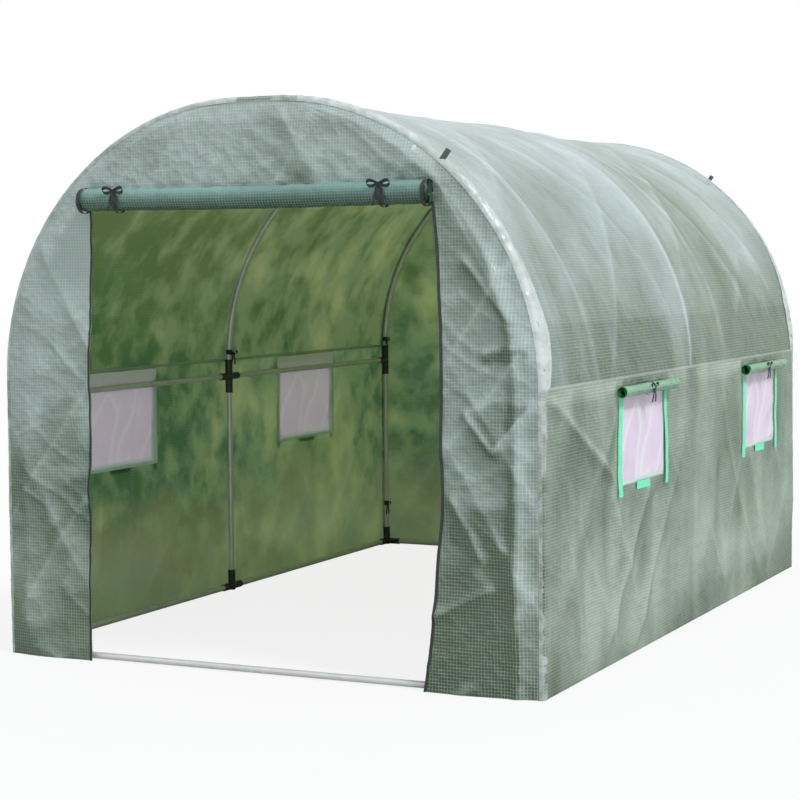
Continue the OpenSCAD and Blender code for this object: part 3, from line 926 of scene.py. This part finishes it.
def bow(origin, along, outward, size):
    """A tied bow: two loops and two tails of tape, from a knot."""
    origin, along, outward = (np.asarray(p, float) for p in (origin, along, outward))
    up = np.array([0.0, 0.0, 1.0])
    t = np.linspace(0, 1, 14)
    parts = []
    for side in (-1, 1):
        swing = np.sin(math.pi * t)
        loop = (origin + np.outer(side * size * swing, along)
                + np.outer(0.22 * size * np.sin(2 * math.pi * t), up)
                + np.outer(0.006 + 0.12 * size * swing, outward))
        parts.append(ribbon("loop", loop, outward * 0.8 + up * 0.6, BOW_W))
        tail = (origin + np.outer(side * size * (0.15 + 0.35 * t), along)
                + np.outer(-1.7 * size * t ** 0.9, up)
                + np.outer(0.006 + 0.10 * size * np.sin(3 * t), outward))
        parts.append(ribbon("tail", tail, along * 0.9 + outward * 0.3, BOW_W))
    return parts


def band(centre, axis, radius, width):
    """A closed loop of tape round a roll or a tube."""
    axis = Vector(axis).normalized()
    first = axis.orthogonal().normalized()
    second = axis.cross(first)
    t = np.linspace(0, 2 * math.pi, 33)
    path = np.asarray(centre) + radius * (np.outer(np.cos(t), first) + np.outer(np.sin(t), second))
    return ribbon("band", path, tuple(axis), width)


def door_ties():
    """Two ties round the door roll, and the zip tape at its ends."""
    parts = []
    for x in (-0.488, 0.488):
        parts.append(band((x, ROLL_Y, ROLL_Z), (1, 0, 0), ROLL_R + 0.0008, TIE_W))
        parts += bow((x, ROLL_Y - 0.034, ROLL_Z + 0.026), (1, 0, 0), (0, -0.8, 0.6), size=0.040)
    for x in (-0.627, 0.636):
        parts.append(band((x, ROLL_Y, ROLL_Z), (1, 0, 0), ROLL_R + 0.0004, 0.014))
        parts.append(band((x, ROLL_Y, ROLL_Z), (1, 0, 0), ROLL_R - 0.009, 0.012))
    return parts


def flap_ties():
    """One tie round the roll over each window."""
    parts = []
    for side, windows in ((-1, LEFT_WINDOWS), (1, RIGHT_WINDOWS)):
        for y in windows:
            parts.append(band((side * FLAP_X, y, FLAP_Z), (0, 1, 0), FLAP_R + 0.0008, TIE_W))
            knot = (side * (FLAP_X + 0.010), y, FLAP_Z + 0.008)
            parts += bow(knot, (0, 1, 0), (side * 0.98, 0, 0.2), size=0.034)
    return parts


def hoop_ties():
    """Ties round each hoop above its eave joint, and round the rear legs."""
    tube_r, wide, knot_x, size = 0.0118, 0.02, HOOP_X - 0.014, 0.03
    parts = []
    for side in (-1, 1):
        for y, shift in zip(HOOPS_Y, (0.034, 0.0, -0.034)):
            centre = (side * (HOOP_X - 0.0006), y, SPRING_Z + 0.032)
            parts.append(band(centre, (side * -0.035, 0, 1), tube_r, wide))
            parts += bow((side * knot_x, y + shift, SPRING_Z + 0.03), (0, 1, 0), (-side, 0, 0), size)
        parts.append(band((side * HOOP_X, HOOPS_Y[2], 0.2), (0, 0, 1), tube_r, wide))
        parts += bow((side * knot_x, HOOPS_Y[2] - 0.034, 0.2), (0, 1, 0), (-side, 0, 0), size)
    return parts


def make_ties():
    """Ties round the door roll, the window flaps and the frame."""
    kinds = (
        ("door_roll_ties", door_ties(), "door_roll_bands", "door_roll"),
        ("window_flap_ties", flap_ties(), "window_roll_ties", "right_window_rolls"),
        ("frame_ribbon_ties", hoop_ties(), "frame_ties", "middle_arches"),
    )
    for name, parts, node, on in kinds:
        tie = finish_piece(joined(name, parts), BLACK, "black_tape", node)


# Frame, stage and camera

def finish_frame():
    """Finish every CAD node that is still shown."""
    for name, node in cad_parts.items():
        if not node.hide_render:
            node.data.materials.clear()
            node.data.materials.append(PLASTIC if name.endswith("joints") else STEEL)


def make_stage():
    """A white floor, which the camera sees with softened shadows."""
    bpy.ops.mesh.primitive_plane_add(size=80, location=(0, 0, 0))
    floor = bpy.context.object
    floor.name = "floor"
    n = Nodes("white_floor")
    where = n.add("TexCoord").outputs["Object"]
    colour = n.mix(n.noise(where, 3.0), rgb(0.55, 0.56, 0.53), rgb(0.60, 0.61, 0.58))
    matt = n.add("BsdfPrincipled", Base_Color=colour, Roughness=0.95)
    white = n.add("Emission", Color=rgb(1, 1, 1), Strength=1.0)
    seen = n.math("MULTIPLY", n.add("LightPath").outputs["Is Camera Ray"], 0.84)
    floor.data.materials.append(n.done(n.blend(seen, matt, white)))


def make_sky():
    """A sky, bright overhead and dim at the horizon, but white where seen, mirrored or shining through."""
    world = bpy.data.worlds.new("studio")
    bpy.context.scene.world = world
    world.use_nodes = True
    tree = world.node_tree
    back = tree.nodes["Background"]
    ways = tree.nodes.new("ShaderNodeTexCoord")
    split = tree.nodes.new("ShaderNodeSeparateXYZ")
    ramp = tree.nodes.new("ShaderNodeValToRGB")
    path = tree.nodes.new("ShaderNodeLightPath")
    mix = tree.nodes.new("ShaderNodeMix")
    mix.data_type = "RGBA"
    mix.inputs[7].default_value = rgb(1, 1, 1)
    ramp.color_ramp.elements[0].color = rgb(0.22, 0.26, 0.24)
    ramp.color_ramp.elements[1].color = rgb(1.02, 1.10, 1.20)
    ramp.color_ramp.elements[1].position = 0.75
    tree.links.new(ways.outputs["Generated"], split.inputs[0])
    tree.links.new(split.outputs[2], ramp.inputs[0])
    tree.links.new(ramp.outputs[0], mix.inputs[6])
    seen = path.outputs["Is Camera Ray"]
    for kind in ("Is Glossy Ray", "Is Transmission Ray"):
        either = tree.nodes.new("ShaderNodeMath")
        either.operation = "MAXIMUM"
        tree.links.new(seen, either.inputs[0])
        tree.links.new(path.outputs[kind], either.inputs[1])
        seen = either.outputs[0]
    tree.links.new(seen, mix.inputs[0])
    tree.links.new(mix.outputs[2], back.inputs["Color"])


def make_sun():
    """A broad sun from the right and a little to the front."""
    sun = bpy.data.lights.new("key", "SUN")
    sun.energy = 2.3
    sun.angle = math.radians(9)
    key = bpy.data.objects.new("key", sun)
    key.rotation_euler = (math.radians(11), math.radians(36), 0)
    bpy.context.scene.collection.objects.link(key)


def make_camera():
    """The photograph's viewpoint, from a fit to the hoops, rails and corners."""
    yaw, pitch, roll = (math.radians(a) for a in (25.51, -3.84, -0.47))
    forward = Vector((-math.sin(yaw) * math.cos(pitch), math.cos(yaw) * math.cos(pitch), math.sin(pitch)))
    right = Vector((math.cos(yaw), math.sin(yaw), 0))
    up = right.cross(forward)
    rolled_right = right * math.cos(roll) + up * math.sin(roll)
    rolled_up = up * math.cos(roll) - right * math.sin(roll)
    data = bpy.data.cameras.new("camera")
    data.lens = 90.33
    data.sensor_width = 36.0
    camera = bpy.data.objects.new("camera", data)
    basis = Matrix((rolled_right, rolled_up, -forward)).transposed().to_4x4()
    camera.matrix_world = Matrix.Translation((3.23, FRONT_Y - 5.686, 1.342)) @ basis
    bpy.context.scene.collection.objects.link(camera)
    bpy.context.scene.camera = camera
    bpy.context.scene.view_settings.view_transform = "Standard"


make_roof()
make_wall("cover_left_wall", -1, LEFT_WINDOWS, "left_wall_cover", seed=30)
make_wall("cover_right_wall", 1, RIGHT_WINDOWS, "right_wall_cover", seed=40)
make_front_side("cover_front_left", -1, "front_left_panel")
make_front_side("cover_front_right", 1, "front_right_panel")
make_end_top("cover_front_top", FRONT_SHEET_Y, outward=-1, bottom=DOOR_Z, half_w=DOOR_X,
             node="front_top_panel", seed=FRONT_SEED)
make_end_top("cover_rear", REAR_SHEET_Y, outward=1, bottom=HEM_Z, half_w=HOOP_X,
             node="rear_panel", seed=90)
make_seams()
make_edge_band("cover_front_hem", HOOPS_Y[0], inward=1, seed=203)
make_edge_band("cover_rear_hem", HOOPS_Y[2], inward=-1, seed=213)
make_edge_tabs()
make_door_roll()
make_flap_rolls("left_window_flaps", -1, LEFT_WINDOWS, "left_window_rolls", seed=100)
make_flap_rolls("right_window_flaps", 1, RIGHT_WINDOWS, "right_window_rolls", seed=120)
make_nets("left_window_nets", -1, LEFT_WINDOWS, "left_window_meshes", seed=140)
make_nets("right_window_nets", 1, RIGHT_WINDOWS, "right_window_meshes", seed=150)
make_strips()
make_zips()
make_ties()
finish_frame()
make_stage()
make_sky()
make_sun()
make_camera()
